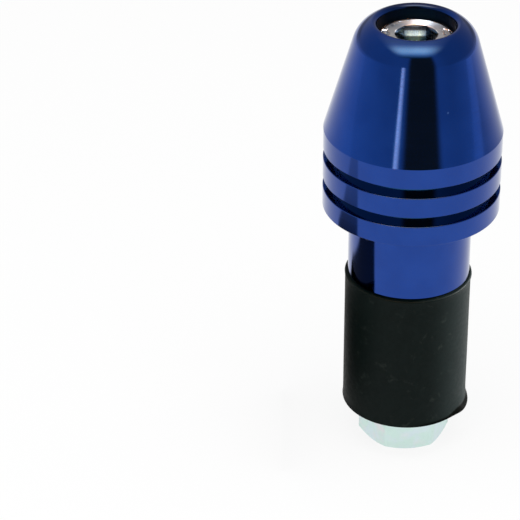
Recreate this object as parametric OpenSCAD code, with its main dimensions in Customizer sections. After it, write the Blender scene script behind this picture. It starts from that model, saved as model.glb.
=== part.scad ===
// Bar end weight for a handlebar: a turned nose with a grooved collar and a
// spigot, held in the bar by a rubber sleeve that a long screw and nut expand.
// The origin is the centre of the collar's back face, which seats on the bar
// end. +Z runs along the axis, from the bar out to the nose.

/* [Collar] */
// Diameter of the collar's lands
collar_d = 23.7; // [21:0.1:28]
// Length of the collar, from the bar end to the cone
collar_len = 11.3; // [9:0.1:18]
// Number of grooves turned into the collar
groove_count = 2; // [1:1:3]
// Width of each groove
groove_w = 1.4; // [0.6:0.1:2]
// Depth of each groove
groove_depth = 1.25; // [0.4:0.05:1.6]
// Chamfer that breaks the collar's sharp edges
edge_break = 0.1; // [0.05:0.05:0.3]

/* [Nose] */
// Length from the collar to the crest of the lip
nose_len = 15.3; // [11:0.1:24]
// Diameter that the cone would reach at the crest
nose_d = 14.9; // [14.4:0.1:18]
// Radius that rounds the cone over to the lip
nose_r = 4.1; // [2.5:0.1:5]
// Radius of the lip where the nose turns into the counterbore
lip_r = 0.6; // [0.3:0.05:0.9]

/* [Spigot] */
// Diameter of the spigot that enters the bar
spigot_d = 16.5; // [14:0.1:19]
// Length of the spigot
spigot_len = 10.5; // [5:0.5:20]
// Chamfer at the spigot's end
spigot_chamfer = 0.3; // [0.1:0.05:1]

/* [Screw] */
// Diameter of the screw's thread
screw_d = 6; // [5:0.5:7]
// Diameter of the screw's head
head_d = 10; // [8.5:0.1:11]
// Height of the screw's head
head_h = 6; // [5:0.1:8]
// Radius round the top edge of the head
head_edge_r = 0.65; // [0.2:0.05:1]
// Fillet under the head
head_fillet = 0.2; // [0.1:0.05:0.25]
// Width across the flats of the key socket
key_af = 5; // [4:0.1:6]
// Depth of the key socket's flats
key_depth = 3; // [2:0.1:3.5]
// Depth of the countersink round the key socket
key_countersink = 0.2; // [0.1:0.05:0.4]
// Length of the taper at the thread's end
screw_taper = 0.8; // [0.3:0.1:1.2]

/* [Sleeve] */
// Diameter of the rubber sleeve
sleeve_d = 17.2; // [15:0.1:20]
// Length of the rubber sleeve
sleeve_len = 20.3; // [12:0.1:32]
// How far the moulded lips at both ends stand out
sleeve_flare = 0.1; // [0.05:0.05:0.15]
// Length over which each lip flares out
flare_len = 1.2; // [0.6:0.1:2]
// Radius of the sleeve's outer end edges
sleeve_edge_r = 0.25; // [0.1:0.05:0.5]

/* [Nut] */
// Width across the nut's flats
nut_af = 11; // [9:0.5:12]
// Height of the nut
nut_h = 5.5; // [4:0.1:7]
// Turn of the nut about the axis
nut_turn = 4; // [0:1:59]
// Angle of the chamfer on the nut's corners
nut_chamfer_angle = 30; // [15:1:35]
// Depth of the countersinks in the nut's mouths
nut_countersink = 0.4; // [0.2:0.05:0.6]

/* [Fits] */
// How far the screw's head lies below the crest of the lip
head_sink = 1.7; // [1:0.1:4]
// Radial gap between the head and its counterbore
head_gap = 0.1; // [0.05:0.05:0.3]
// Radial gap between the screw and the bore of the nose
body_gap = 0.3; // [0.25:0.05:0.5]
// Radial gap between the screw and the bore of the sleeve
sleeve_gap = 0.2; // [0.1:0.05:0.5]
// Radial gap between the screw and the nut's thread
thread_gap = 0.05; // [0.03:0.01:0.1]
// How far the screw's end stays inside the nut
end_recess = 0.1; // [0:0.1:1]

/* [Hidden] */

// Facets of round solids, and steps in a drawn arc
$fn = 96;
arc_steps = 24;

// Angle of the cone-shaped bottom that a drill leaves
drill_angle = 120;

// How far a cutting tool runs past the face that it cuts
overcut = 1;

collar_r = collar_d / 2;
spigot_r = spigot_d / 2;
screw_r = screw_d / 2;
head_r = head_d / 2;
sleeve_r = sleeve_d / 2;

counterbore_r = head_r + head_gap;
body_bore_r = screw_r + body_gap;
sleeve_bore_r = screw_r + sleeve_gap;
nut_bore_r = screw_r + thread_gap;

// Heights along the axis, from the crest of the lip down to the nut's foot
crest_z = collar_len + nose_len;
head_top_z = crest_z - head_sink;
seat_z = head_top_z - head_h;
spigot_end_z = -spigot_len;
nut_top_z = spigot_end_z - sleeve_len;
nut_foot_z = nut_top_z - nut_h;
screw_end_z = nut_foot_z + end_recess;

// The lands are equal, and so are the grooves between them
land_w = (collar_len - groove_count * groove_w) / (groove_count + 1);

// The cone's slope from the axis, and its distance from the origin along its
// outward normal
cone_angle = atan((collar_r - nose_d / 2) / nose_len);
cone_offset = collar_r * cos(cone_angle) + collar_len * sin(cone_angle);

// Points along an arc about [radius, height], from one angle to another
function arc(centre, r, from, to) =
    [for (i = [0:arc_steps])
        let (a = from + (to - from) * i / arc_steps)
        centre + r * [cos(a), sin(a)]];

// A point given by its distance along the cone's normal and along its side
function on_cone(out, up) =
    [out * cos(cone_angle) - up * sin(cone_angle),
     out * sin(cone_angle) + up * cos(cone_angle)];

// The lip is a small arc tangent to the counterbore. The nose is a large arc
// that touches the cone on one side and the lip on the other.
lip_centre = [counterbore_r + lip_r, crest_z - lip_r];
lip_out = lip_centre[0] * cos(cone_angle) + lip_centre[1] * sin(cone_angle);
lip_up = lip_centre[1] * cos(cone_angle) - lip_centre[0] * sin(cone_angle);
nose_out = cone_offset - nose_r;
nose_up = lip_up - sqrt(pow(nose_r - lip_r, 2) - pow(nose_out - lip_out, 2));
nose_centre = on_cone(nose_out, nose_up);
blend_angle = atan2(lip_centre[1] - nose_centre[1], lip_centre[0] - nose_centre[0]);

// The mouth of one groove, cut square into the collar with its edges broken
module groove(bottom_z) {
    floor_r = collar_r - groove_depth;
    top_z = bottom_z + groove_w;
    rotate_extrude()
        polygon([
            [floor_r, bottom_z],
            [collar_r - edge_break, bottom_z],
            [collar_r + overcut, bottom_z - edge_break - overcut],
            [collar_r + overcut, top_z + edge_break + overcut],
            [collar_r - edge_break, top_z],
            [floor_r, top_z]
        ]);
}

// Turned outline of nose, collar and spigot, with the counterbore and the bore
module body_outline() {
    polygon(concat(
        [[body_bore_r, spigot_end_z],
         [spigot_r - spigot_chamfer, spigot_end_z],
         [spigot_r, spigot_end_z + spigot_chamfer],
         [spigot_r, 0],
         [collar_r - edge_break, 0],
         [collar_r, edge_break],
         [collar_r, collar_len]],
        arc(nose_centre, nose_r, cone_angle, blend_angle),
        arc(lip_centre, lip_r, blend_angle, 180),
        [[counterbore_r, seat_z],
         [body_bore_r, seat_z]]
    ));
}

module weight_body() {
    color([0.09, 0.2, 0.56])
        difference() {
            rotate_extrude() body_outline();
            for (i = [1:groove_count])
                groove(i * land_w + (i - 1) * groove_w);
        }
}

// Hexagonal key socket with a drilled bottom and a countersunk mouth
module key_socket() {
    corner_r = key_af / 2 / cos(30);
    drill_r = key_af / 2;
    bottom_z = head_top_z - key_depth;
    drill_depth = drill_r / tan(drill_angle / 2);
    translate([0, 0, bottom_z])
        cylinder(h = key_depth + overcut, r = corner_r, $fn = 6);
    translate([0, 0, bottom_z - drill_depth])
        cylinder(h = drill_depth, r1 = 0, r2 = drill_r);
    translate([0, 0, head_top_z - key_countersink])
        cylinder(h = key_countersink + overcut,
                 r1 = drill_r, r2 = drill_r + (key_countersink + overcut) * tan(60));
}

module screw_outline() {
    taper_r = screw_r - screw_taper;
    polygon(concat(
        [[0, screw_end_z],
         [taper_r, screw_end_z],
         [screw_r, screw_end_z + screw_taper],
         [screw_r, seat_z - head_fillet],
         [screw_r + head_fillet, seat_z],
         [head_r, seat_z]],
        arc([head_r - head_edge_r, head_top_z - head_edge_r], head_edge_r, 0, 90),
        [[0, head_top_z]]
    ));
}

module cap_screw() {
    color([0.72, 0.74, 0.74])
        difference() {
            rotate_extrude() screw_outline();
            key_socket();
        }
}

// The sleeve flares a little at both ends, where the mould closed on it
module sleeve_outline() {
    flare_r = sleeve_r + sleeve_flare;
    polygon(concat(
        [[sleeve_bore_r, nut_top_z]],
        arc([flare_r - sleeve_edge_r, nut_top_z + sleeve_edge_r], sleeve_edge_r, -90, 0),
        [[sleeve_r, nut_top_z + flare_len],
         [sleeve_r, spigot_end_z - flare_len]],
        arc([flare_r - sleeve_edge_r, spigot_end_z - sleeve_edge_r], sleeve_edge_r, 0, 90),
        [[sleeve_bore_r, spigot_end_z]]
    ));
}

module expander_sleeve() {
    color([0.1, 0.12, 0.12])
        rotate_extrude() sleeve_outline();
}

// Turned blank that leaves the nut's corners chamfered at both ends
module nut_blank() {
    flat_r = nut_af / 2;
    blank_r = flat_r / cos(30) + overcut;
    drop = (blank_r - flat_r) * tan(nut_chamfer_angle);
    rotate_extrude()
        polygon([
            [0, nut_foot_z],
            [flat_r, nut_foot_z],
            [blank_r, nut_foot_z + drop],
            [blank_r, nut_top_z - drop],
            [flat_r, nut_top_z],
            [0, nut_top_z]
        ]);
}

// Threaded hole of the nut, with a countersink at each mouth
module nut_bore() {
    wide_r = nut_bore_r + nut_countersink;
    rotate_extrude()
        polygon([
            [0, nut_foot_z - overcut],
            [wide_r + overcut, nut_foot_z - overcut],
            [nut_bore_r, nut_foot_z + nut_countersink],
            [nut_bore_r, nut_top_z - nut_countersink],
            [wide_r + overcut, nut_top_z + overcut],
            [0, nut_top_z + overcut]
        ]);
}

module hex_nut() {
    color([0.8, 0.86, 0.84])
        difference() {
            intersection() {
                nut_blank();
                rotate([0, 0, nut_turn])
                    translate([0, 0, nut_foot_z])
                        cylinder(h = nut_h, r = nut_af / 2 / cos(30), $fn = 6);
            }
            nut_bore();
        }
}

weight_body();
cap_screw();
expander_sleeve();
hex_nut();
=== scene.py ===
"""Bar end weight: anodised nose, socket head screw, rubber sleeve and nut.

Everything is in metres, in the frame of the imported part. The origin is the centre
of the collar's back face, and +Z runs along the axis to the nose.
"""

import math

import bmesh
import bpy
from mathutils import Matrix, Vector, noise


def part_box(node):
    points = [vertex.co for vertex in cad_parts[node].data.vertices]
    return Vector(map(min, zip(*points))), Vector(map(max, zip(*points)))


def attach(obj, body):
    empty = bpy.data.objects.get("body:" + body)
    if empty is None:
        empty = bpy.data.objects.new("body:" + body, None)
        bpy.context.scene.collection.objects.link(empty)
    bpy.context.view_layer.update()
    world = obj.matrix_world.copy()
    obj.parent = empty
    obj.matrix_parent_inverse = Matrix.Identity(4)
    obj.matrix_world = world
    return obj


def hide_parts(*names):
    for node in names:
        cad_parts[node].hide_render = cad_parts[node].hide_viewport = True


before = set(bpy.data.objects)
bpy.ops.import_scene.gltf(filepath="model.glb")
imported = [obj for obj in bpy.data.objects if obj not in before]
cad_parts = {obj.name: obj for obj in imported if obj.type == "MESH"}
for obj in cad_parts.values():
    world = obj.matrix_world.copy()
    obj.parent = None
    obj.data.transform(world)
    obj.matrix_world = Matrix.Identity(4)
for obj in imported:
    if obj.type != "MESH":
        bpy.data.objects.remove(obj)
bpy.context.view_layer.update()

MM = 0.001
BODY = "root"
TURN = 2 * math.pi
SIXTH = TURN / 6

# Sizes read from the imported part
body_low, body_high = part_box("weight_body")
screw_low, screw_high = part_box("cap_screw")
sleeve_low, sleeve_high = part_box("expander_sleeve")
nut_low, nut_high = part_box("hex_nut")

collar_r = body_high.x
crest_z = body_high.z
spigot_end_z = body_low.z
head_r = screw_high.x
head_top_z = screw_high.z
screw_end_z = screw_low.z
lip_out_r = sleeve_high.x
sleeve_foot_z = sleeve_low.z
nut_top_z = nut_high.z
floor_z = nut_low.z

# Sizes that a box doesn't give, as in the part's own drawing
collar_len = 11.3 * MM
groove_count = 2
groove_w = 1.4 * MM
groove_depth = 1.25 * MM
edge_r = 0.1 * MM
nose_tip_r = 7.45 * MM
nose_r = 4.1 * MM
lip_r = 0.6 * MM
counterbore_r = head_r + 0.1 * MM
spigot_r = 8.25 * MM
spigot_chamfer = 0.3 * MM
bore_r = 3.3 * MM

head_h = 6 * MM
seat_z = head_top_z - head_h
head_edge_r = 0.65 * MM
head_fillet = 0.2 * MM
screw_r = 3 * MM
screw_taper = 0.8 * MM
key_flat_r = 2.5 * MM
key_depth = 3 * MM
key_countersink = 0.2 * MM
drill_cone_h = key_flat_r / math.tan(math.radians(60))

sleeve_r = 8.6 * MM
sleeve_bore_r = 3.2 * MM
sleeve_edge_r = 0.25 * MM
flare_len = 1.2 * MM

nut_flat_r = 5.5 * MM
nut_turn = math.radians(4)
nut_bore_r = screw_r + 0.05 * MM
nut_countersink = 0.4 * MM

# Details that only the look has
pitch = 1 * MM
thread_depth = 0.61 * MM
thread_len = 24 * MM
thread_top_z = screw_end_z + thread_len
flute_count = 60
flute_depth = 0.12 * MM
nut_corner_r = 0.35 * MM

# Places that are the same to a hundredth of a micrometre are one vertex
WELD_GRID = 1e8


# Surfaces turned about Z. A run is a row of points (radius, height, normal) from one
# crisp edge to the next, with the solid on its left. A radius or a height may be a
# function of the angle. A normal is (outward, up), or a function of the angle and of
# the middle of its face that gives the whole vector.

def line(p, q):
    """A straight run from p to q."""
    along = Vector((q[0] - p[0], q[1] - p[1])).normalized()
    normal = (along.y, -along.x)
    return [(p[0], p[1], normal), (q[0], q[1], normal)]


def arc(centre, radius, start, end, steps):
    """A run along an arc, with its angles in degrees."""
    run = []
    for i in range(steps + 1):
        a = math.radians(start + (end - start) * i / steps)
        c, s = math.cos(a), math.sin(a)
        run.append((centre[0] + radius * c, centre[1] + radius * s, (c, s)))
    return run


def even(count):
    """That many angles, evenly spaced over a turn."""
    return [TURN * k / count for k in range(count)]


def skin(name, runs, angles):
    """Turns the runs through the angles into one welded mesh with the runs' normals."""
    verts, faces, normals, known = [], [], [], {}
    count = len(angles)
    columns = list(angles) + [angles[0] + TURN]

    def corner(point, k, middle):
        """The number of the point's vertex in that column, and its normal there."""
        radius, height, normal = point
        r = radius(columns[k]) if callable(radius) else radius
        z = height(columns[k]) if callable(height) else height
        a = columns[k % count]
        c, s = math.cos(a), math.sin(a)
        place = (r * c, r * s, z)
        key = tuple(round(v * WELD_GRID) for v in place)
        if key not in known:
            known[key] = len(verts)
            verts.append(place)
        if callable(normal):
            return known[key], normal(columns[k], middle)
        return known[key], (normal[0] * c, normal[0] * s, normal[1])

    for run in runs:
        for p, q in zip(run, run[1:]):
            for k in range(count):
                middle = (columns[k] + columns[k + 1]) / 2
                face = dict(corner(point, m, middle)
                            for point, m in ((p, k), (p, k + 1), (q, k + 1), (q, k)))
                if len(face) > 2:
                    faces.append(tuple(face))
                    normals.extend(face.values())
    mesh = bpy.data.meshes.new(name)
    mesh.from_pydata(verts, [], faces)
    mesh.polygons.foreach_set("use_smooth", [True] * len(faces))
    mesh.normals_split_custom_set(normals)
    return add_piece(name, mesh)


def hexagon(flat_r, turn, corner_r=0.0):
    """The radius of a hexagon at an angle, with its corners rounded."""
    reach = (flat_r - corner_r) / math.cos(SIXTH / 2)

    def radius(a):
        off = (a - turn) % SIXTH
        flat = flat_r / math.cos(off - SIXTH / 2)
        off = min(off, SIXTH - off)
        across = corner_r ** 2 - (reach * math.sin(off)) ** 2
        if across <= 0:
            return flat
        return min(flat, reach * math.cos(off) + math.sqrt(across))
    return radius


def facet(turn, side=1, corner_r=0.0, flat_r=1.0):
    """The normal of a hexagon's sides and rounded corners. A side of -1 looks inward."""
    reach = (flat_r - corner_r) / math.cos(SIXTH / 2)
    radius = hexagon(flat_r, turn, corner_r)

    def normal(a, middle):
        sector = math.floor((middle - turn) / SIXTH)
        to_flat = turn + (sector + 0.5) * SIXTH
        if not corner_r:
            return (side * math.cos(to_flat), side * math.sin(to_flat), 0)
        to_corner = turn + round((a - turn) / SIXTH) * SIXTH
        r = radius(a)
        bend = math.atan2(r * math.sin(a - to_corner), r * math.cos(a - to_corner) - reach)
        bend = max(-SIXTH / 2, min(SIXTH / 2, bend))
        return (side * math.cos(to_corner + bend), side * math.sin(to_corner + bend), 0)
    return normal


def hexagon_angles(turn, near, steps):
    """Angles that fall on a hexagon's corners, with extra ones close to each corner."""
    inner = [near[-1] + (SIXTH - 2 * near[-1]) * i / steps for i in range(1, steps)]
    offsets = [0.0] + list(near) + inner + [SIXTH - n for n in reversed(near)]
    return [turn + side * SIXTH + off for side in range(6) for off in offsets]


# One turn of the thread's outline: the share of the pitch, and the share of the depth
THREAD = ((0.0, 0.0), (0.0625, 0.0), (0.375, 0.88), (0.44, 0.98), (0.5, 1.0),
          (0.56, 0.98), (0.625, 0.88), (0.9375, 0.0), (1.0, 0.0))


def thread_share(phase):
    """The share of the thread's depth at a place along the pitch."""
    phase %= 1.0
    for (u0, d0), (u1, d1) in zip(THREAD, THREAD[1:]):
        if phase <= u1:
            return d0 + (d1 - d0) * (phase - u0) / (u1 - u0)
    return 0.0


def formed(height, form, side=1):
    """A point whose radius is form(z, angle), with the normal of that form.

    The form's slopes are measured over one step to either side.
    """
    step = 0.02 * MM

    def level(a):
        return height(a) if callable(height) else height

    def radius(a):
        return form(level(a), a)

    def normal(a, middle):
        z, r = level(a), radius(a)
        rise = (form(z + step, a) - form(z - step, a)) / (2 * step)
        swell = (form(z, a + step / r) - form(z, a - step / r)) / (2 * step)
        c, s = math.cos(a), math.sin(a)
        return tuple(side * Vector((c + swell * s, s - swell * c, -rise)).normalized())
    return (radius, level, normal)


def thread_run(low, high, radius_at, side=1):
    """One run up a thread's helix from low to high. Past either end it slides onto it."""
    def form(z, a):
        return radius_at(z, thread_share((z - screw_end_z) / pitch - a / TURN))

    def height_from(along):
        return lambda a: min(max(low + along + pitch * a / TURN, low), high)

    phase = ((low - screw_end_z) / pitch) % 1.0
    turns = range(-2, math.ceil((high - low) / pitch) + 1)
    return [formed(height_from((turn + u - phase) * pitch), form, side)
            for turn in turns for u, _ in THREAD[:-1]]


def add_piece(name, mesh):
    piece = bpy.data.objects.new(name, mesh)
    bpy.context.scene.collection.objects.link(piece)
    return piece


def dress(piece, node, material):
    """The piece stands for a node of the part, rides with it and gets its finish."""
    piece.data.materials.append(material)
    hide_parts(node)
    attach(piece, BODY)


# Materials

class Shader:
    """A material with a Principled shader, and short calls to add nodes to it."""

    def __init__(self, name):
        self.material = bpy.data.materials.new(name)
        self.material.use_nodes = True
        self.tree = self.material.node_tree
        self.nodes = self.tree.nodes
        self.out = self.nodes["Material Output"]
        self.surface = self.nodes["Principled BSDF"]
        self.coords = self.add("ShaderNodeTexCoord").outputs["Object"]

    def add(self, kind, **settings):
        node = self.nodes.new(kind)
        for key, value in settings.items():
            setattr(node, key, value)
        return node

    def link(self, source, target):
        self.tree.links.new(source, target)

    def set(self, **values):
        for key, value in values.items():
            self.surface.inputs[key.replace("_", " ")].default_value = value

    def feed(self, socket, value):
        self.link(value, self.surface.inputs[socket])

    def feed_to(self, socket, value):
        """Puts a number or a colour on a socket, or links what another node gives."""
        if isinstance(value, (int, float)):
            socket.default_value = value
        elif isinstance(value, tuple):
            socket.default_value = (*value, 1.0)
        else:
            self.link(value, socket)

    def axes(self):
        """The three coordinates in the object's own frame."""
        node = self.add("ShaderNodeSeparateXYZ")
        self.link(self.coords, node.inputs[0])
        return tuple(node.outputs)

    def joined(self, x, y, z):
        node = self.add("ShaderNodeCombineXYZ")
        for socket, value in zip(node.inputs, (x, y, z)):
            self.feed_to(socket, value)
        return node.outputs[0]

    def stretched(self, scale):
        node = self.add("ShaderNodeMapping")
        node.inputs["Scale"].default_value = scale
        self.link(self.coords, node.inputs["Vector"])
        return node.outputs["Vector"]

    def noise(self, scale, detail=3.0, coords=None, distortion=0.0):
        node = self.add("ShaderNodeTexNoise")
        node.inputs["Scale"].default_value = scale
        node.inputs["Detail"].default_value = detail
        node.inputs["Distortion"].default_value = distortion
        self.link(coords or self.coords, node.inputs["Vector"])
        return node.outputs["Fac"]

    def span(self, value, low, high, to_low=0.0, to_high=1.0):
        """Maps a value smoothly from one range to another, held at both ends."""
        node = self.add("ShaderNodeMapRange", interpolation_type="SMOOTHSTEP")
        self.link(value, node.inputs["Value"])
        for key, number in (("From Min", low), ("From Max", high),
                            ("To Min", to_low), ("To Max", to_high)):
            node.inputs[key].default_value = number
        return node.outputs["Result"]

    def fall(self, value, low, high):
        """1 up to low and 0 from high on, with a smooth step between them."""
        return self.span(value, low, high, 1.0, 0.0)

    def window(self, value, low, high, soft_low, soft_high=None):
        """1 between low and high, and 0 outside, with soft edges."""
        soft_high = soft_high or soft_low
        return self.times(self.span(value, low - soft_low, low + soft_low),
                          self.fall(value, high - soft_high, high + soft_high))

    def mix(self, factor, a, b):
        node = self.add("ShaderNodeMix", data_type="RGBA")
        self.link(factor, node.inputs["Factor"])
        self.feed_to(node.inputs["A"], a)
        self.feed_to(node.inputs["B"], b)
        return node.outputs["Result"]

    def math(self, operation, a, b=0.0):
        node = self.add("ShaderNodeMath", operation=operation)
        self.feed_to(node.inputs[0], a)
        self.feed_to(node.inputs[1], b)
        return node.outputs[0]

    def times(self, *values):
        """The product of masks or values."""
        total = values[0]
        for value in values[1:]:
            total = self.math("MULTIPLY", total, value)
        return total

    def graded(self, value, stops):
        """A colour that runs through the stops as the value goes from 0 to 1."""
        node = self.add("ShaderNodeValToRGB")
        elements = node.color_ramp.elements
        while len(elements) < len(stops):
            elements.new(0.5)
        for element, (place, colour) in zip(elements, stops):
            element.position = place
            element.color = (*colour, 1.0)
        self.link(value, node.inputs["Fac"])
        return node.outputs["Color"]

    def bump(self, height, distance, strength=1.0):
        node = self.add("ShaderNodeBump")
        node.inputs["Strength"].default_value = strength
        node.inputs["Distance"].default_value = distance
        self.link(height, node.inputs["Height"])
        self.feed("Normal", node.outputs["Normal"])

    def distance_from_axis(self):
        x, y, _ = self.axes()
        return self.math("SQRT", self.math("ADD", self.times(x, x), self.times(y, y)))


def anodised_blue():
    """Polished turned aluminium under a deep blue anodised skin.

    Painted shade darkens the counterbore and the back of the lip, and a painted greener
    tint in the grooves stands in for light bounced between their walls. The skin is
    glossier on the collar and spigot. The cone has one pale speck.
    """
    blue, cloudy_blue = (0.004, 0.042, 0.262), (0.0055, 0.048, 0.287)
    groove_bounce_tint = (0.0045, 0.075, 0.23)
    back_lip_shade_blue = (0.004, 0.022, 0.11)
    speck_blue = (0.07, 0.16, 0.45)
    counterbore_shade_blue = (0.0018, 0.0095, 0.03)
    speck_x, speck_z = 3.76 * MM, 18.15 * MM
    collar_coat, nose_coat = 0.31, 0.12
    counterbore_roughness = 0.5

    s = Shader("anodised_blue")
    s.set(Metallic=1.0, Coat_Roughness=0.04, Coat_IOR=1.6)
    x, y, z = s.axes()
    radius = s.distance_from_axis()
    # Painted shade in the counterbore; the same mask turns the coat off and the roughness up
    # there
    within = s.fall(radius, counterbore_r + 0.01 * MM, counterbore_r + 0.06 * MM)
    grooved = s.times(s.window(z, 0.5 * MM, collar_len, 0.1 * MM),
                      s.fall(radius, collar_r - 0.3 * MM, collar_r - 0.1 * MM))
    # Painted shade on the back of the lip, which hides the top light's reflection there
    back_lip_shade = s.times(s.fall(radius, 6.6 * MM, 7.2 * MM), s.span(y, 2.0 * MM, 5.0 * MM))
    speck = s.math("ADD", s.math("ABSOLUTE", s.math("SUBTRACT", x, speck_x)),
                   s.math("ABSOLUTE", s.math("SUBTRACT", z, speck_z)))
    speck = s.times(s.fall(speck, 0.08 * MM, 0.2 * MM), s.fall(y, -1.0 * MM, 0.0))

    colour = s.mix(s.span(s.noise(260.0, detail=2.0), 0.3, 0.7), blue, cloudy_blue)
    # Painted light: a greener tint in the grooves, for light bounced between their walls
    colour = s.mix(grooved, colour, groove_bounce_tint)
    colour = s.mix(back_lip_shade, colour, back_lip_shade_blue)
    colour = s.mix(speck, colour, speck_blue)
    s.feed("Base Color", s.mix(within, colour, counterbore_shade_blue))

    coat = s.span(z, collar_len - 0.05 * MM, collar_len + 0.05 * MM, collar_coat, nose_coat)
    s.feed("Coat Weight", s.times(coat, s.fall(within, 0.0, 1.0)))
    turning = s.noise(1.0, detail=4.0, coords=s.stretched((60.0, 60.0, 9000.0)))
    polish = s.span(turning, 0.3, 0.75, 0.07, 0.13)
    s.feed("Roughness", s.math("MAXIMUM", polish, s.times(within, counterbore_roughness)))
    s.bump(turning, distance=0.0012 * MM, strength=0.3)
    return s.material


def zinc_screw():
    """Zinc plate on the screw, with circular marks where the head's top was turned.

    The back of the head's top is painted bluish, to cancel the warm colour of the top light
    reflected there, and the top has nicks along its rim, their glints tinted the same way.
    The key socket's back walls carry painted shade, with a painted highlight band across
    its middle flat.
    """
    plate, cloudy_plate = (0.78, 0.77, 0.78), (0.62, 0.63, 0.65)
    back_reflection_tint = (0.58, 0.74, 0.9)
    nick_glint_tint = (0.5, 0.66, 0.9)
    key_upper_shade, key_lower_shade = (0.045, 0.09, 0.165), (0.019, 0.06, 0.1)
    key_highlight_band = (0.24, 0.56, 0.98)

    s = Shader("zinc_screw")
    s.set(Metallic=1.0, Anisotropic_Rotation=0.25)
    x, y, z = s.axes()
    radius = s.distance_from_axis()
    aside = s.math("ABSOLUTE", x)
    down = s.math("SUBTRACT", head_top_z, z)
    top = s.times(s.span(z, head_top_z - 0.05 * MM, head_top_z - 0.01 * MM),
                  s.fall(radius, 4.2 * MM, 4.4 * MM))

    # Nicks at the rim's back left, and at the left and right of the head. Their bluish tint
    # is painted, cancelling the warm colour of the top light in their glints
    back_rim = s.times(s.span(radius, 3.6 * MM, 4.2 * MM), s.span(y, 1.5 * MM, 2.6 * MM),
                       s.fall(x, -0.9 * MM, -0.4 * MM))
    both_sides = s.times(s.span(aside, 3.4 * MM, 3.8 * MM),
                         s.window(y, -1.8 * MM, 1.2 * MM, 0.4 * MM))
    nicks = s.times(s.span(s.noise(2300.0), 0.5, 0.58), s.math("MAXIMUM", back_rim, both_sides))

    # Painted shade on the key socket's back walls, and a painted highlight band on the middle
    # one
    key_painted_shade = s.times(s.fall(radius, 2.9 * MM, 2.98 * MM),
                     s.window(down, 0.04 * MM, key_depth - 0.1 * MM, 0.03 * MM),
                     s.span(y, -0.3 * MM, 0.1 * MM))
    highlight_band = s.times(s.window(down, 0.72 * MM, 1.5 * MM, 0.13 * MM),
                   s.fall(aside, 1.35 * MM, 1.45 * MM))
    key_shading = s.mix(s.span(down, 1.3 * MM, 1.8 * MM), key_upper_shade, key_lower_shade)
    key_shading = s.mix(highlight_band, key_shading, key_highlight_band)

    colour = s.mix(s.span(s.noise(1300.0, detail=4.0), 0.35, 0.7), plate, cloudy_plate)
    # Painted bluish tint at the back of the head's top, cancelling the warm colour of the top
    # light reflected there
    colour = s.mix(s.times(top, s.span(y, 1.0 * MM, 3.0 * MM)), colour, back_reflection_tint)
    colour = s.mix(nicks, colour, nick_glint_tint)
    s.feed("Base Color", s.mix(key_painted_shade, colour, key_shading))

    marks = s.noise(1.0, detail=5.0, coords=s.joined(s.times(radius, 9000.0), 0.0, 0.0))
    s.feed("Roughness", s.math("ADD", s.span(top, 0.0, 1.0, 0.16, 0.28),
                               s.span(marks, 0.3, 0.7, 0.0, 0.12)))
    s.bump(s.math("SUBTRACT", s.times(marks, 0.014), nicks), distance=0.22 * MM)
    s.feed("Anisotropic", s.span(top, 0.0, 1.0, 0.0, 0.85))
    tangent = s.add("ShaderNodeTangent", direction_type="RADIAL", axis="Z")
    s.feed("Tangent", tangent.outputs["Tangent"])
    return s.material


def zinc_nut():
    """Clear zinc plate on the nut: pale green, with faint pink and blue tints."""
    green, blue, pink = (0.63, 0.81, 0.76), (0.67, 0.8, 0.83), (0.78, 0.77, 0.8)
    s = Shader("zinc_nut")
    s.set(Metallic=1.0)
    tint = s.mix(s.span(s.noise(420.0, detail=2.0, distortion=0.8), 0.4, 0.65), green, blue)
    s.feed("Base Color", s.mix(s.span(s.noise(300.0, detail=2.0), 0.52, 0.72), tint, pink))
    s.feed("Roughness", s.span(s.noise(2600.0), 0.3, 0.7, 0.28, 0.4))
    s.bump(s.noise(900.0), distance=0.02 * MM, strength=0.4)
    return s.material


def black_rubber():
    """Matt moulded rubber with faint pale scuffs, and painted shade along its lower lip."""
    rubber, mottled_rubber = (0.0004, 0.0045, 0.0042), (0.0009, 0.0056, 0.0052)
    scuff_colour = (0.011, 0.017, 0.015)
    lip_shade_black = (0.0004, 0.0008, 0.0003)
    shine, shaded_lip_shine = 0.1, 0.01

    s = Shader("black_rubber")
    s.set(Sheen_Weight=0.05, Sheen_Roughness=0.3)
    x, _, z = s.axes()

    # Painted shade along the lower lip covers the right half, and is higher at its right end
    above = s.math("SUBTRACT", z, s.span(x, 5.5 * MM, 7.2 * MM, 0.0, 0.45 * MM))
    lip = s.times(s.span(x, -1.0 * MM, 5.0 * MM),
                  s.fall(above, sleeve_foot_z + 0.3 * MM, sleeve_foot_z + 0.75 * MM))
    scuffs = s.times(s.span(s.noise(420.0, detail=6.0, distortion=1.2), 0.56, 0.74),
                     s.span(s.noise(1600.0), 0.45, 0.65))
    colour = s.mix(s.span(s.noise(500.0), 0.3, 0.7), rubber, mottled_rubber)
    colour = s.mix(scuffs, colour, scuff_colour)
    s.feed("Base Color", s.mix(lip, colour, lip_shade_black))
    s.feed("Specular IOR Level", s.span(lip, 0.0, 1.0, shine, shaded_lip_shine))
    s.feed("Roughness", s.span(s.noise(1800.0), 0.3, 0.7, 0.5, 0.62))
    s.bump(s.noise(5200.0), distance=0.01 * MM, strength=0.2)
    return s.material


# The pieces of the part

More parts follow.
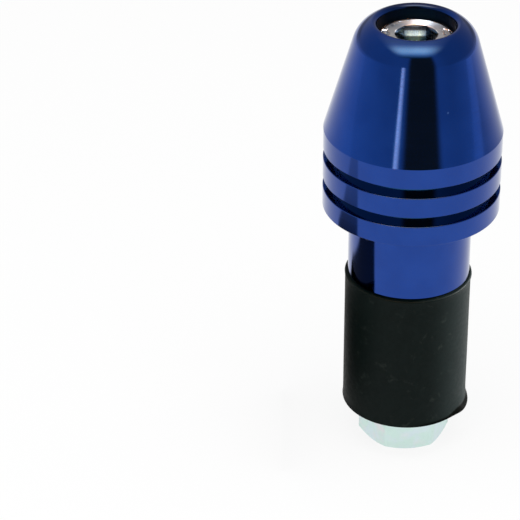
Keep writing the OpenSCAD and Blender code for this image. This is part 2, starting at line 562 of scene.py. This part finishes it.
def weight_body():
    """Nose, collar and spigot in one turned outline, bored right through."""
    edge_steps, nose_steps, lip_steps, columns = 4, 40, 24, 256

    # The nose's arc touches the cone and the lip's arc, as in the part's own drawing
    slope = math.atan((collar_r - nose_tip_r) / (crest_z - collar_len))
    c, s = math.cos(slope), math.sin(slope)
    lip = (counterbore_r + lip_r, crest_z - lip_r)
    out = collar_r * c + collar_len * s - nose_r
    lip_out = lip[0] * c + lip[1] * s
    up = lip[1] * c - lip[0] * s - math.sqrt((nose_r - lip_r) ** 2 - (out - lip_out) ** 2)
    nose = (out * c - up * s, out * s + up * c)
    blend = math.degrees(math.atan2(lip[1] - nose[1], lip[0] - nose[0]))

    land_w = (collar_len - groove_count * groove_w) / (groove_count + 1)
    floor_r = collar_r - groove_depth
    inner = collar_r - edge_r
    runs = [line((bore_r, spigot_end_z), (spigot_r - spigot_chamfer, spigot_end_z)),
            line((spigot_r - spigot_chamfer, spigot_end_z),
                 (spigot_r, spigot_end_z + spigot_chamfer)),
            line((spigot_r, spigot_end_z + spigot_chamfer), (spigot_r, 0)),
            line((spigot_r, 0), (inner, 0)),
            arc((inner, edge_r), edge_r, -90, 0, edge_steps)]
    low = edge_r
    for i in range(groove_count):
        top = (i + 1) * land_w + i * groove_w
        runs += [line((collar_r, low), (collar_r, top - edge_r)),
                 arc((inner, top - edge_r), edge_r, 0, 90, edge_steps),
                 line((inner, top), (floor_r, top)),
                 line((floor_r, top), (floor_r, top + groove_w)),
                 line((floor_r, top + groove_w), (inner, top + groove_w)),
                 arc((inner, top + groove_w + edge_r), edge_r, -90, 0, edge_steps)]
        low = top + groove_w + edge_r
    nose_run = arc(nose, nose_r, math.degrees(slope), blend, nose_steps)
    lip_run = arc(lip, lip_r, blend, 180, lip_steps)
    runs += [line((collar_r, low), (collar_r, collar_len)),
             line((collar_r, collar_len), nose_run[0][:2]),
             nose_run,
             lip_run,
             line(lip_run[-1][:2], (counterbore_r, seat_z)),
             line((counterbore_r, seat_z), (bore_r, seat_z)),
             line((bore_r, seat_z), (bore_r, spigot_end_z))]
    return skin("anodised_body", runs, even(columns))


def screw_head():
    """Fluted head with its key socket, and the plain shank down to the thread."""
    edge_steps, columns = 10, 4 * flute_count
    flat_edge_r = head_r - head_edge_r
    side_top_z = head_top_z - head_edge_r
    under_r = head_r - 0.25 * MM
    side_low_z = seat_z + 0.15 * MM

    def fluted(z, a):
        return head_r - flute_depth * (0.5 - 0.5 * math.cos(flute_count * a))

    side = [formed(z, fluted) for z in (side_low_z, side_top_z)]

    def rounded(angle):
        """A point on the rounded top edge, where the flutes run out."""
        c, s = math.cos(angle), math.sin(angle)

        def normal(a, middle):
            n = side[1][2](a, middle)
            return tuple(Vector((n[0] * c, n[1] * c, s)).normalized())
        return (lambda a: flat_edge_r + (fluted(0, a) - flat_edge_r) * c,
                side_top_z + head_edge_r * s, normal)

    key = hexagon(key_flat_r, 0)
    mouth_r = key_flat_r + key_countersink * math.tan(SIXTH)

    def mouth(a):
        return max(key(a), mouth_r)

    def mouth_z(a):
        return min(head_top_z, head_top_z - key_countersink
                   + (key(a) - key_flat_r) / math.tan(SIXTH))

    up, down_out = (0, 1), (0.7, -0.7)
    sunk = (-math.cos(SIXTH), math.sin(SIXTH))
    wall = facet(0, -1)
    key_end_z = head_top_z - key_depth
    runs = [line((0, thread_top_z), (screw_r, thread_top_z)),
            line((screw_r, thread_top_z), (screw_r, seat_z - head_fillet)),
            line((screw_r, seat_z - head_fillet), (screw_r + head_fillet, seat_z)),
            line((screw_r + head_fillet, seat_z), (under_r, seat_z)),
            [(under_r, seat_z, down_out), (side[0][0], side_low_z, down_out)],
            side,
            [rounded(math.pi / 2 * i / edge_steps) for i in range(edge_steps + 1)],
            [(flat_edge_r, head_top_z, up), (mouth, head_top_z, up)],
            [(mouth, head_top_z, sunk), (key, mouth_z, sunk)],
            [(key, mouth_z, wall), (key, key_end_z, wall)],
            [(key, key_end_z, up), (key_flat_r, key_end_z, up)],
            line((key_flat_r, key_end_z), (0, key_end_z - drill_cone_h))]
    return skin("screw_head", runs, even(columns))


def screw_thread():
    """The rolled M6 thread, tapered at its end and run out into the shank."""
    columns = 96
    runout = 1.5 * pitch
    taper_r = screw_r - screw_taper

    def outside(z, share):
        fade = min(1.0, max(0.0, (thread_top_z - z) / runout))
        return min(screw_r - thread_depth * share * fade, taper_r + z - screw_end_z)

    runs = [line((0, screw_end_z), (taper_r, screw_end_z)),
            thread_run(screw_end_z, thread_top_z, outside),
            line((screw_r, thread_top_z), (0, thread_top_z))]
    return skin("screw_thread", runs, even(columns))


def expander_sleeve():
    """Moulded sleeve with a lip at each end, and the uneven form that soft rubber takes.

    Its lower lip has a soft corner at the right front, and its side is a little
    narrower above that.
    """
    edge_steps, lip_steps, side_steps, columns = 6, 6, 16, 192
    top_z = spigot_end_z
    foot_z = sleeve_foot_z
    flare = lip_out_r - sleeve_r
    unevenness, wave_spread, wave_len = 0.03 * MM, 1.6, 4 * MM
    corner_angle = math.radians(-27)
    corner_width_right = math.radians(24)
    corner_width_front = math.radians(11)
    corner_rise, corner_depth = 0.9 * MM, 0.5 * MM
    waist_angle = math.radians(-12)
    waist_width = math.radians(45)
    waist_depth = 0.12 * MM

    def apart(a, b):
        """The signed angle from b to a, at most half a turn either way."""
        return (a - b + math.pi) % TURN - math.pi

    def outside(z, a):
        from_end = min(z - foot_z, top_z - z) / flare_len
        lip = max(0.0, min(1.0, 1.0 - from_end)) ** 2
        wave = noise.noise(Vector((wave_spread * math.cos(a), wave_spread * math.sin(a),
                                   z / wave_len)))
        off = apart(a, corner_angle)
        width = corner_width_right if off > 0 else corner_width_front
        corner = math.exp(-(off / width) ** 2 - ((z - foot_z) / corner_rise) ** 2)
        waist = math.exp(-(apart(a, waist_angle) / waist_width) ** 2) * (1 - lip)
        return (sleeve_r + flare * lip - unevenness * (0.5 + 0.5 * wave)
                + corner_depth * corner - waist_depth * waist)

    def edge(level_z, start, end):
        """The rounded outer edge at one end."""
        run = []
        for i in range(edge_steps + 1):
            angle = math.radians(start + (end - start) * i / edge_steps)
            c, s = math.cos(angle), math.sin(angle)
            run.append((lambda a, c=c: outside(level_z, a) - sleeve_edge_r * (1 - c),
                        level_z + sleeve_edge_r * s, (c, s)))
        return run

    low_z = foot_z + sleeve_edge_r
    high_z = top_z - sleeve_edge_r
    side_len = high_z - low_z - 2 * flare_len
    lip_levels = [flare_len * i / lip_steps for i in range(1, lip_steps + 1)]
    levels = ([low_z] + [low_z + step for step in lip_levels]
              + [low_z + flare_len + side_len * i / side_steps for i in range(1, side_steps)]
              + [high_z - step for step in reversed(lip_levels)] + [high_z])
    bottom_edge = edge(low_z, -90, 0)
    top_edge = edge(high_z, 0, 90)
    runs = [[(sleeve_bore_r, foot_z, (0, -1)), (bottom_edge[0][0], foot_z, (0, -1))],
            bottom_edge,
            [formed(z, outside) for z in levels],
            top_edge,
            [(top_edge[-1][0], top_z, (0, 1)), (sleeve_bore_r, top_z, (0, 1))],
            line((sleeve_bore_r, top_z), (sleeve_bore_r, foot_z))]
    return skin("rubber_sleeve", runs, even(columns))


def hex_nut():
    """Hexagon nut, chamfered at both ends, with a thread in step with the screw's."""
    side_r = hexagon(nut_flat_r, nut_turn, nut_corner_r)
    side_normal = facet(nut_turn, 1, nut_corner_r, nut_flat_r)
    tilt = math.radians(30)
    mouth_r = nut_bore_r + nut_countersink

    def inside(z, share):
        from_end = min(z - floor_z, nut_top_z - z)
        return max(nut_bore_r - thread_depth * share, mouth_r - from_end)

    def low(a):
        return floor_z + (side_r(a) - nut_flat_r) * math.tan(tilt)

    def high(a):
        return nut_top_z - (side_r(a) - nut_flat_r) * math.tan(tilt)

    down_out = (math.sin(tilt), -math.cos(tilt))
    up_out = (math.sin(tilt), math.cos(tilt))
    bore = reversed(thread_run(floor_z, nut_top_z, inside, -1))
    runs = [line((mouth_r, floor_z), (nut_flat_r, floor_z)),
            [(nut_flat_r, floor_z, down_out), (side_r, low, down_out)],
            [(side_r, low, side_normal), (side_r, high, side_normal)],
            [(side_r, high, up_out), (nut_flat_r, nut_top_z, up_out)],
            line((nut_flat_r, nut_top_z), (mouth_r, nut_top_z)),
            list(bore)]
    near_corner = [math.radians(0.7 * i) for i in range(1, 5)]
    side_steps = 12
    angles = hexagon_angles(nut_turn, near_corner, side_steps)
    return skin("hex_nut_threaded", runs, angles)


dress(weight_body(), "weight_body", anodised_blue())
screw_finish = zinc_screw()
screw_pieces = [screw_head(), screw_thread()]
for screw_piece in screw_pieces:
    dress(screw_piece, "cap_screw", screw_finish)
sleeve = expander_sleeve()
dress(sleeve, "expander_sleeve", black_rubber())
dress(hex_nut(), "hex_nut", zinc_nut())


# Camera: the photograph's view, as fitted to the object's outline

def add_camera():
    view_pitch = math.radians(30.768)
    distance, aside, above = 348.06 * MM, 20.18 * MM, 7.79 * MM
    sensor_width, lens = 36, 179.96
    forward = Vector((0, math.cos(view_pitch), -math.sin(view_pitch)))
    up = Vector((0, math.sin(view_pitch), math.cos(view_pitch)))
    right = Vector((1, 0, 0))
    place = -aside * right - above * up - distance * forward
    data = bpy.data.cameras.new("camera")
    data.sensor_width = sensor_width
    data.lens = lens
    data.clip_start = 0.02
    data.clip_end = 50
    camera = bpy.data.objects.new("camera", data)
    axes = Matrix((right, up, -forward)).transposed()
    camera.matrix_world = Matrix.Translation(place) @ axes.to_4x4()
    bpy.context.scene.collection.objects.link(camera)
    bpy.context.scene.camera = camera


# Stage: a white floor and soft light, and the tent, card and board that stand in for
# what the photograph's studio put round the piece

def shown_white(tree, white):
    """That level on camera, glossy and transmission rays, and nothing on the others."""
    path = tree.nodes.new("ShaderNodeLightPath")
    total = path.outputs["Is Camera Ray"]
    for name in ("Is Glossy Ray", "Is Transmission Ray"):
        either = tree.nodes.new("ShaderNodeMath")
        either.operation = "MAXIMUM"
        tree.links.new(total, either.inputs[0])
        tree.links.new(path.outputs[name], either.inputs[1])
        total = either.outputs[0]
    scale = tree.nodes.new("ShaderNodeMath")
    scale.operation = "MULTIPLY"
    scale.inputs[1].default_value = white
    tree.links.new(total, scale.inputs[0])
    return scale.outputs[0]


def add_world():
    """White where the camera or a reflection looks, and a weaker fill light elsewhere."""
    fill = 0.45
    world = bpy.data.worlds.new("studio")
    world.use_nodes = True
    tree = world.node_tree
    background = tree.nodes["Background"]
    background.inputs["Color"].default_value = (1, 1, 1, 1)
    seen = shown_white(tree, 1.0 - fill)
    add = tree.nodes.new("ShaderNodeMath")
    add.operation = "ADD"
    add.inputs[1].default_value = fill
    tree.links.new(seen, add.inputs[0])
    tree.links.new(add.outputs[0], background.inputs["Strength"])
    bpy.context.scene.world = world


def add_floor():
    """A wide white floor, which glows enough to stay white under the part's shadow."""
    reach = 4.0
    paper = (0.9, 0.9, 0.9, 1)
    glow_share = 0.88
    mesh = bpy.data.meshes.new("floor")
    mesh.from_pydata([(-reach, -reach, floor_z), (reach, -reach, floor_z),
                      (reach, reach, floor_z), (-reach, reach, floor_z)], [], [(0, 1, 2, 3)])
    floor = add_piece("floor", mesh)
    material = bpy.data.materials.new("floor")
    material.use_nodes = True
    tree = material.node_tree
    surface = tree.nodes["Principled BSDF"]
    surface.inputs["Base Color"].default_value = paper
    surface.inputs["Roughness"].default_value = 1.0
    surface.inputs["Specular IOR Level"].default_value = 0.0
    glow = tree.nodes.new("ShaderNodeEmission")
    mix = tree.nodes.new("ShaderNodeMixShader")
    tree.links.new(shown_white(tree, glow_share), mix.inputs["Fac"])
    tree.links.new(surface.outputs[0], mix.inputs[1])
    tree.links.new(glow.outputs[0], mix.inputs[2])
    tree.links.new(mix.outputs[0], tree.nodes["Material Output"].inputs["Surface"])
    floor.data.materials.append(material)


def add_softbox(name, place, target, width, height, watts, receivers=()):
    """A rectangular light that no metal mirrors, or one that reaches its receivers only."""
    data = bpy.data.lights.new(name, "AREA")
    data.shape = "RECTANGLE"
    data.size = width
    data.size_y = height
    data.energy = watts
    light = bpy.data.objects.new(name, data)
    light.location = place
    light.rotation_euler = (Vector(target) - Vector(place)).to_track_quat("-Z", "Y").to_euler()
    light.visible_camera = False
    light.visible_glossy = bool(receivers)
    bpy.context.scene.collection.objects.link(light)
    if receivers:
        group = bpy.data.collections.new(name + "_receivers")
        for piece in receivers:
            group.objects.link(piece)
        light.light_linking.receiver_collection = group


def mirrored_only(piece):
    """Only reflections show the piece, and it casts no shadow."""
    piece.visible_camera = False
    piece.visible_diffuse = False
    piece.visible_shadow = False
    piece.visible_volume_scatter = False


def add_tent():
    """A round grey tent: a dark gap at the camera, a strip beside it and a warm top.

    Its angles are in degrees. The azimuth is 0 at the camera and 90 at the right.
    """
    radius = 0.7
    brightest = 14.0
    strip_colour = (13.5, 5.3, 2.5)
    gap_colour = (0.2, 0.09, 0.04)
    grey_level, low_glow = 0.5, 0.32
    behind_loss, right_level = 0.5, 0.78

    # Each runs from its first to its second value, and the rest says how soft its ends are
    gap_azimuth, gap_elevation = (-15.0, 31.0, 4.5, 5.0), (-12.0, 47.0, 2.0)
    strip_azimuth, strip_elevation = (-26.3, -21.3, 1.1, 2.7), (0.5, 7.4, 1.2, 0.6)
    behind_elevation = (-12.0, 10.0, 4.0)
    top_aside, top_over = (-0.6, 0.42, 0.24, 0.3), (0.25, 0.72, 0.01, 0.1)

    # In degrees from the front horizon over the top to the back one
    overhead_colours = [(40, (0.05, 0.08, 0.08)), (47, (0.25, 0.33, 0.24)),
                        (55, (2.8, 1.8, 0.97)), (61, (7.6, 3.9, 1.65)),
                        (68, (12.8, 5.6, 2.05)), (77, (12.2, 5.3, 1.95)),
                        (85, (6.9, 3.1, 1.3)), (94, (2.9, 1.35, 0.82)),
                        (104, (2.3, 1.1, 0.62)), (130, (1.1, 0.7, 0.6)),
                        (160, (0.6, 0.53, 0.5))]

    def share(colour):
        """The colour as a share of the brightest level, which the emission multiplies."""
        return tuple(c / brightest for c in colour)

    mesh = bpy.data.meshes.new("tent")
    shape = bmesh.new()
    bmesh.ops.create_uvsphere(shape, u_segments=64, v_segments=32, radius=radius)
    shape.to_mesh(mesh)
    shape.free()
    tent = add_piece("tent", mesh)
    mirrored_only(tent)
    s = Shader("tent")
    x, y, z = s.axes()
    toward = s.times(y, -1.0)
    azimuth = s.times(s.math("ARCTAN2", x, toward), math.degrees(1))
    elevation = s.times(s.math("ARCTAN2", z, s.distance_from_axis()), math.degrees(1))

    # How far over the top it is, as a share of the half turn, and its lean to the right
    over = s.math("DIVIDE", s.math("ARCTAN2", z, toward), math.pi)
    aside = s.math("DIVIDE", x, s.math("MAXIMUM", z, 0.01))

    gap = s.times(s.window(azimuth, *gap_azimuth), s.window(elevation, *gap_elevation))
    strip = s.times(s.window(azimuth, *strip_azimuth), s.window(elevation, *strip_elevation))
    behind = s.times(s.span(s.math("ABSOLUTE", azimuth), 125.0, 150.0),
                     s.window(elevation, *behind_elevation))
    top = s.times(s.window(aside, *top_aside), s.window(over, *top_over))

    level = s.math("ADD", s.span(elevation, -4.0, 8.0, low_glow, 0.0), grey_level)
    level = s.times(level, s.math("SUBTRACT", 1.0, s.times(behind, behind_loss)),
                    s.span(azimuth, 30.0, 60.0, 1.0, right_level))
    level = s.math("DIVIDE", level, brightest)
    colour = s.mix(gap, s.joined(level, level, level), share(gap_colour))
    colour = s.mix(strip, colour, share(strip_colour))
    overhead = s.graded(over, [(angle / 180, share(c)) for angle, c in overhead_colours])
    glow = s.add("ShaderNodeEmission")
    glow.inputs["Strength"].default_value = brightest
    s.feed_to(glow.inputs["Color"], s.mix(top, colour, overhead))
    s.link(glow.outputs[0], s.out.inputs["Surface"])
    tent.data.materials.append(s.material)


def add_black_board():
    """A black board close by on the left, which keeps soft light off the sleeve."""
    x, front, back, top = -17 * MM, -11 * MM, 9 * MM, -16 * MM
    mesh = bpy.data.meshes.new("black_board")
    mesh.from_pydata([(x, front, floor_z), (x, back, floor_z), (x, back, top),
                      (x, front, top)], [], [(0, 1, 2, 3)])
    board = add_piece("black_board", mesh)
    mirrored_only(board)
    board.visible_diffuse = True
    s = Shader("black_board")
    s.set(Base_Color=(0.0, 0.0, 0.0, 1.0), Roughness=1.0, Specular_IOR_Level=0.0)
    board.data.materials.append(s.material)


def add_dark_card():
    """A card that darkens parts of the floor, only as the spigot and collar mirror it.

    A dark stretch lies to the left of the part. A faint shade lies far off at the right.
    """
    left, reach = -130 * MM, 400 * MM
    card_z = floor_z + 0.2 * MM
    front_slope = -0.15
    near_rise, near_top = 76 * MM, 34 * MM
    far_rise, far_top = 86 * MM, 16 * MM
    near_dark, far_dark = 0.96, 0.35
    shade_level = 0.4
    mesh = bpy.data.meshes.new("dark_card")
    mesh.from_pydata([(left, -reach, card_z), (reach, -reach, card_z),
                      (reach, reach, card_z), (left, reach, card_z)], [], [(0, 1, 2, 3)])
    card = add_piece("dark_card", mesh)
    mirrored_only(card)
    s = Shader("dark_card")
    x, y, _ = s.axes()
    away = s.distance_from_axis()

    # Seen from above, the stretch ends in a sloping line at the front. At the back it
    # ends at the further of two limits, each a slope that levels off.
    front = s.math("ADD", s.times(x, front_slope), y)
    near_limit = s.math("MINIMUM", s.math("ADD", x, near_rise), near_top)
    far_limit = s.math("MINIMUM", s.math("ADD", x, far_rise), far_top)
    back = s.math("SUBTRACT", y, s.math("MAXIMUM", near_limit, far_limit))
    stretch = s.times(s.span(front, -17 * MM, -13 * MM),
                      s.fall(back, -2.5 * MM, 2.5 * MM),
                      s.fall(x, -26 * MM, -20 * MM),
                      s.span(away, 65 * MM, 95 * MM, near_dark, far_dark),
                      s.fall(away, 96 * MM, 110 * MM))
    shade = s.times(s.span(x, 20 * MM, 90 * MM, 0.0, shade_level),
                    s.span(away, 100 * MM, 160 * MM),
                    s.fall(y, 40 * MM, 200 * MM))
    black = s.add("ShaderNodeEmission")
    black.inputs["Strength"].default_value = 0.02
    clear = s.add("ShaderNodeBsdfTransparent")
    mix = s.add("ShaderNodeMixShader")
    s.link(s.math("MAXIMUM", stretch, shade), mix.inputs["Fac"])
    s.link(clear.outputs[0], mix.inputs[1])
    s.link(black.outputs[0], mix.inputs[2])
    s.link(mix.outputs[0], s.out.inputs["Surface"])
    card.data.materials.append(s.material)


add_camera()
add_world()
add_floor()
add_softbox("overhead_softbox", place=(0, -0.18, 0.5), target=(0, -0.18, 0),
            width=0.7, height=0.52, watts=3.0)
add_softbox("head_light", place=(-0.02, 0.24, 0.44), target=(0, 0, 0),
            width=0.07, height=0.07, watts=0.95, receivers=screw_pieces)
for side in (-1, 1):
    add_softbox("head_side_light", place=(side * 0.3, 0.355, 0.21), target=(0, 0, 0.025),
                width=0.08, height=0.08, watts=0.2, receivers=screw_pieces)
add_softbox("sleeve_edge_light", place=(0.4, 0.15, 0.12), target=(0, 0, -0.02),
            width=0.15, height=0.3, watts=6.5, receivers=[sleeve])
add_tent()
add_dark_card()
add_black_board()

scene = bpy.context.scene
scene.view_settings.view_transform = "Standard"
